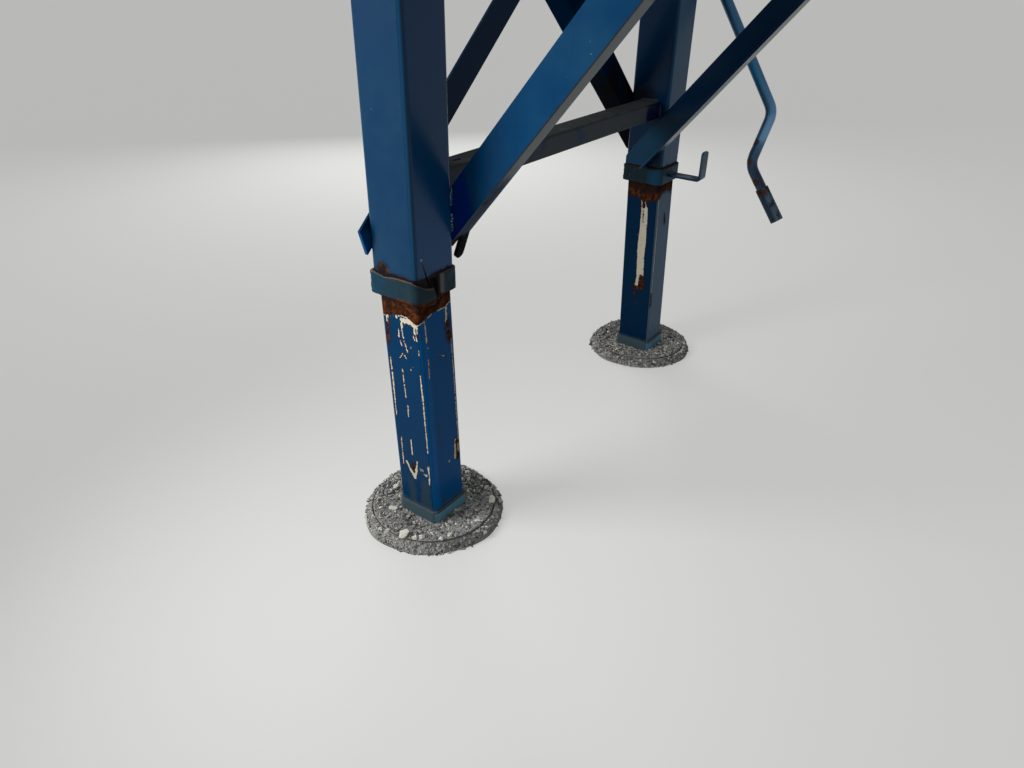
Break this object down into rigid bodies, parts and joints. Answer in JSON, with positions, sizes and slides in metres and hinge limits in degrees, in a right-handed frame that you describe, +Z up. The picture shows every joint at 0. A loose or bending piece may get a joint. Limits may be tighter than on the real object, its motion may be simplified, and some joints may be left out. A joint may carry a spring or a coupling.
{
  "type": "semi trailer landing gear",
  "caption": "Pair of square telescopic support legs for a semi trailer, with braces, round feet, a cross shaft and a folding crank.",
  "frame": {"origin": "on the ground, midway between the two legs' upper tubes", "axes": "+X the trailer's front, +Y its left, where the crank is, +Z up"},
  "size_m": [0.7518, 1.5205, 1.405],
  "materials": {
    "blue_paint": "worn blue enamel with rust and primer showing",
    "shoe_steel": "dirty dark steel",
    "shaft_steel": "dull brown steel",
    "bolt_steel": "dull zinc",
    "rusty_sleeve": "chipped paint over rust",
    "gravel": "packed crushed stone"
  },
  "bodies": {
    "frame": {"outer_tube_right": "blue_paint", "collar_right": "blue_paint", "inner_tube_right": "blue_paint", "foot_shoe_right": "shoe_steel", "packed_gravel_right": "gravel", "top_cap_right": "blue_paint", "mount_plate_right": "blue_paint", "shaft_boss_right": "shaft_steel", "drag_brace_right": "blue_paint", "sway_brace_right": "blue_paint", "outer_tube_left": "blue_paint", "collar_left": "blue_paint", "inner_tube_left": "blue_paint", "foot_shoe_left": "shoe_steel", "packed_gravel_left": "gravel", "top_cap_left": "blue_paint", "mount_plate_left": "blue_paint", "shaft_boss_left": "shaft_steel", "drag_brace_left": "blue_paint", "sway_brace_left": "blue_paint", "cross_member": "blue_paint", "apex_gusset": "blue_paint", "gear_cover": "blue_paint", "bearing_cap": "blue_paint", "crank_hook": "blue_paint"},
    "cross_shaft": {"stub_shaft_right": "shaft_steel", "stub_shaft_left": "shaft_steel", "cross_tube": "shaft_steel", "coupling_bolts": "bolt_steel"},
    "input_shaft": {"input_shaft": "shaft_steel"},
    "crank": {"crank_yoke": "blue_paint", "clevis_pin": "bolt_steel", "crank_arm": "blue_paint", "crank_grip": "rusty_sleeve"}
  },
  "joints": [
    {"name": "crank_spin", "type": "hinge", "parent": "frame", "child": "input_shaft", "pos_m": [0, 0.745, 1.322], "axis": [0, 1, 0], "continuous": true},
    {"name": "crank_fold", "type": "hinge", "parent": "input_shaft", "child": "crank", "pos_m": [0, 0.745, 1.322], "axis": [0.832, 0, 0.5548], "range_deg": [0, 90]},
    {"name": "cross_shaft_spin", "type": "hinge", "parent": "frame", "child": "cross_shaft", "pos_m": [0, 0, 1.364], "axis": [0, 1, 0], "continuous": true}
  ],
  "couplings": [
    {"joint": "cross_shaft_spin", "follows": "crank_spin", "ratio": -0.25}
  ]
}
